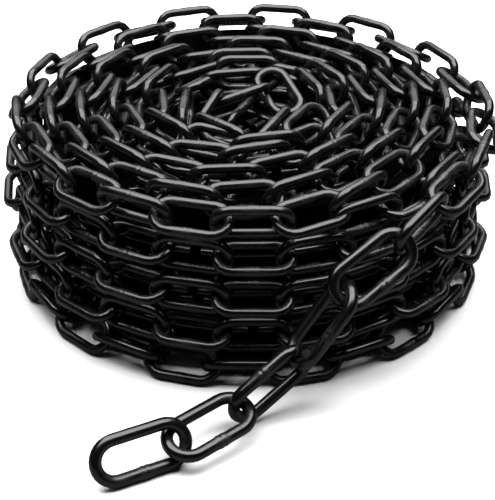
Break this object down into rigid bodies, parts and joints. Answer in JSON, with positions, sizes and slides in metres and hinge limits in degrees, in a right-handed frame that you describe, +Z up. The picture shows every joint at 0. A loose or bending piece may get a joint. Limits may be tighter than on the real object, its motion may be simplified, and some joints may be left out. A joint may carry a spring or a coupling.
{
  "type": "coiled heap of anchor chain",
  "caption": "Black coated long-link steel chain wound in flat layers into a drum-shaped heap, with its free end hanging over the rim and lying on the floor.",
  "frame": {"origin": "on the floor under the middle of the coil", "axes": "+Z up, -Y towards the free end's side, +X to the right of it"},
  "size_m": [0.3578, 0.4473, 0.1356],
  "materials": {
    "black_coat": "glossy black coating on welded steel wire"
  },
  "bodies": {
    "root": {"layer_1": "black_coat", "layer_2": "black_coat", "layer_3": "black_coat", "layer_4": "black_coat", "layer_5": "black_coat", "rim_link_1": "black_coat", "rim_link_2": "black_coat", "rim_link_3": "black_coat", "rim_link_4": "black_coat", "free_link_1": "black_coat", "free_link_2": "black_coat", "free_link_3": "black_coat", "free_link_4": "black_coat", "free_link_5": "black_coat", "free_link_6": "black_coat"}
  },
  "joints": []
}
